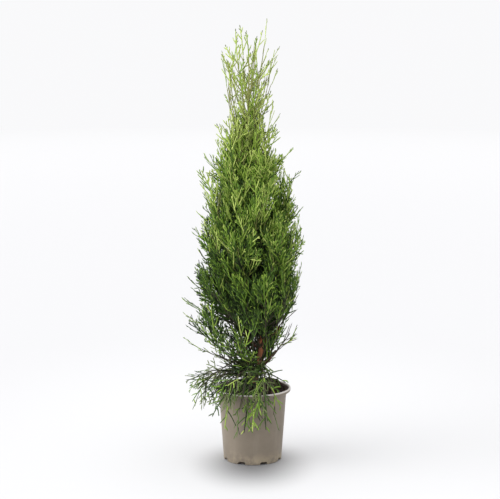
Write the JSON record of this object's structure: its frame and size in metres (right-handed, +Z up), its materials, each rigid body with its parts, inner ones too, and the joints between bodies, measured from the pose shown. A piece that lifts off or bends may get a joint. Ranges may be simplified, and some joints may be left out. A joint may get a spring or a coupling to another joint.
{
  "type": "potted columnar arborvitae",
  "caption": "Young columnar evergreen with flat lacy scale-leaf sprays on ascending boughs, standing in a round taupe nursery pot filled with dark soil.",
  "frame": {"origin": "centre of the pot's flat underside, on the floor it stands on", "axes": "+Z up along the trunk; +X to the right and -Y towards the viewer of the front view"},
  "size_m": [0.2636, 0.2625, 0.9765],
  "materials": {
    "pot": "satin, thin moulded",
    "soil": "rough, damp crumb",
    "bark": "fibrous, matte",
    "foliage_deep": "matte",
    "foliage_green": "matte",
    "foliage_lime": "matte"
  },
  "bodies": {
    "root": {"high_1_foliage": "foliage_green", "high_2_foliage": "foliage_green", "high_3_foliage": "foliage_green", "high_4_foliage": "foliage_green", "low_1_bough": "bark", "low_1_foliage": "foliage_deep", "low_2_bough": "bark", "low_2_foliage": "foliage_deep", "low_3_bough": "bark", "low_3_foliage": "foliage_deep", "low_4_bough": "bark", "low_4_foliage": "foliage_deep", "low_5_bough": "bark", "low_5_foliage": "foliage_deep", "lower_1_bough": "bark", "lower_1_foliage": "foliage_deep", "lower_2_bough": "bark", "lower_2_foliage": "foliage_deep", "lower_3_bough": "bark", "lower_3_foliage": "foliage_deep", "lower_4_bough": "bark", "lower_4_foliage": "foliage_deep", "lower_5_bough": "bark", "lower_5_foliage": "foliage_deep", "middle_1_bough": "bark", "middle_1_foliage": "foliage_green", "middle_2_bough": "bark", "middle_2_foliage": "foliage_green", "middle_3_bough": "bark", "middle_3_foliage": "foliage_green", "middle_4_bough": "bark", "middle_4_foliage": "foliage_green", "neck_1_foliage": "foliage_lime", "neck_2_foliage": "foliage_lime", "neck_3_foliage": "foliage_lime", "plume_1_foliage": "foliage_lime", "plume_2_foliage": "foliage_lime", "plume_3_foliage": "foliage_lime", "pot": "pot", "skirt_1_bough": "bark", "skirt_1_foliage": "foliage_deep", "skirt_2_bough": "bark", "skirt_2_foliage": "foliage_deep", "skirt_3_bough": "bark", "skirt_3_foliage": "foliage_deep", "skirt_4_bough": "bark", "skirt_4_foliage": "foliage_deep", "soil": "soil", "tip_1_foliage": "foliage_lime", "tip_2_foliage": "foliage_lime", "tip_3_foliage": "foliage_lime", "trunk": "bark", "upper_1_foliage": "foliage_green", "upper_2_foliage": "foliage_green", "upper_3_foliage": "foliage_green", "upper_4_foliage": "foliage_green"}
  },
  "joints": []
}
